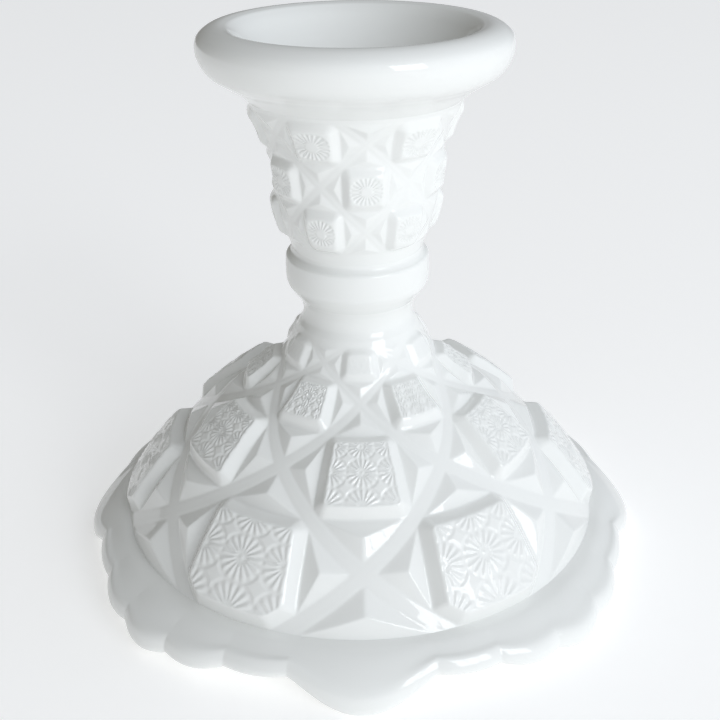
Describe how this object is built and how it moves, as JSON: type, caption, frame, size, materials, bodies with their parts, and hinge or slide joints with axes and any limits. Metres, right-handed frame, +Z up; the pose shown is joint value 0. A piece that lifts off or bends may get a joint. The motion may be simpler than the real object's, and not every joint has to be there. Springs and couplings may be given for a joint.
{
  "type": "glass candlestick",
  "caption": "Low pressed milk-glass candlestick: scalloped, pointed foot, hollow quilted dome, short ringed stem and a quilted cup with a fat rolled rim.",
  "frame": {"origin": "on the table, under the middle of the candlestick, at the level of the flats under its corner points", "axes": "+Z up along the candle's axis; the foot's corner points lie on the X and Y axes, and the front is -Y"},
  "size_m": [0.1106, 0.1106, 0.1016],
  "materials": {
    "milk_glass": "glossy opaque white pressed glass"
  },
  "bodies": {
    "root": {"scalloped_skirt": "milk_glass", "quilted_dome": "milk_glass", "stem": "milk_glass", "stem_ring": "milk_glass", "candle_cup": "milk_glass", "rolled_rim": "milk_glass"}
  },
  "joints": []
}
